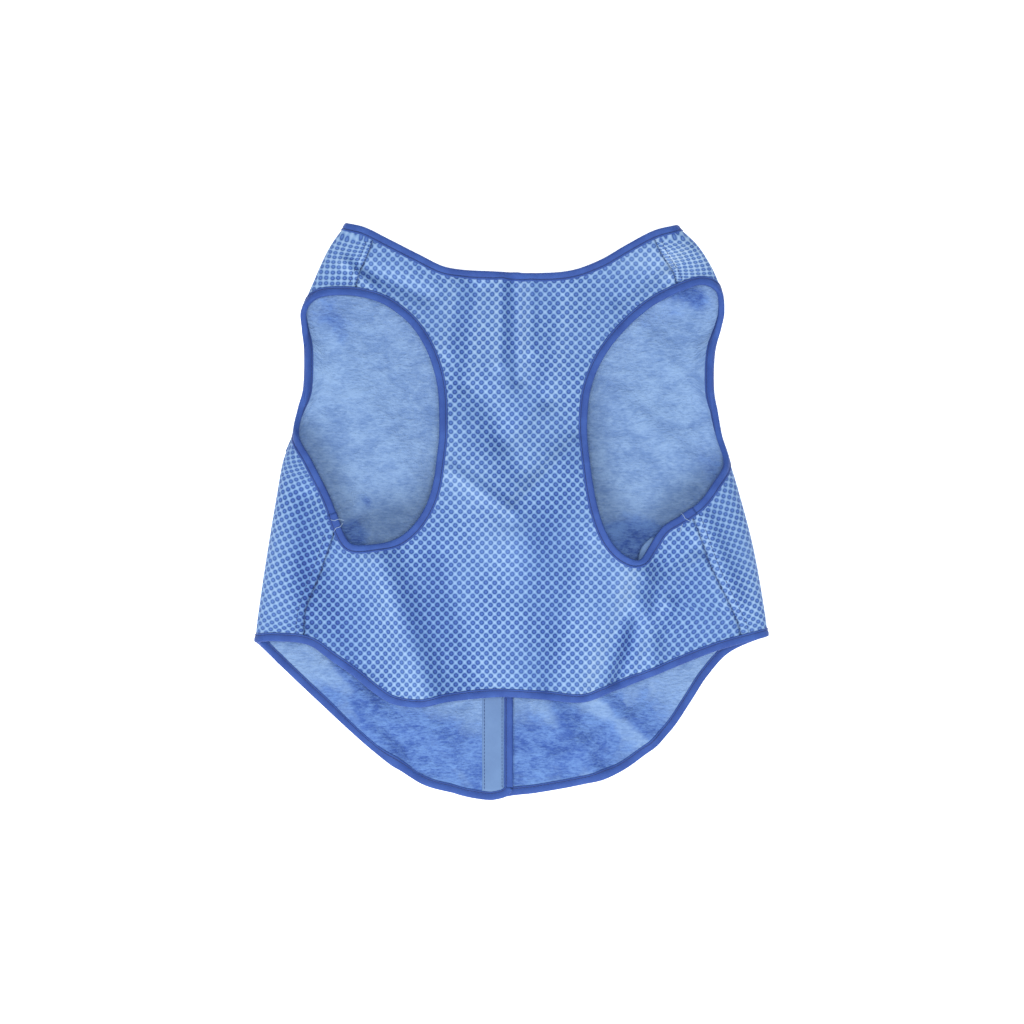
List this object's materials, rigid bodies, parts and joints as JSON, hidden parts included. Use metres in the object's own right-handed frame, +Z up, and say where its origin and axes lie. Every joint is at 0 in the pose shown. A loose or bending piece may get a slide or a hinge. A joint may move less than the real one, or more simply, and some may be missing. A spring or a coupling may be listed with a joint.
{
  "type": "dog cooling vest",
  "caption": "Soft cooling vest for a dog in dotted mesh with bound edges, lying on its fastened back with the belly panel up.",
  "frame": {"origin": "on the floor under the middle of the vest as it lies on its back", "axes": "+Z up out of the belly panel, +Y towards the neck, +X to the right of the picture"},
  "size_m": [0.4128, 0.462, 0.0467],
  "materials": {
    "mesh_cloth": "matte, light blue net with darker blue dots",
    "lining": "mottled blue plush, matte",
    "binding": "mid blue twill tape, matte",
    "facing": "smooth light blue cloth strip, matte",
    "fastening_tape": "blue hook and loop tape, matte"
  },
  "bodies": {
    "root": {"belly_panel": "mesh_cloth", "back_panel_left": "mesh_cloth", "back_panel_right": "mesh_cloth", "back_lining_left": "lining", "back_lining_right": "lining", "neck_binding": "binding", "hem_binding": "binding", "leg_hole_binding_left": "binding", "leg_hole_binding_right": "binding", "closure_binding_left": "binding", "closure_binding_right": "binding", "closure_facing": "facing", "closure_tape": "fastening_tape"}
  },
  "joints": []
}
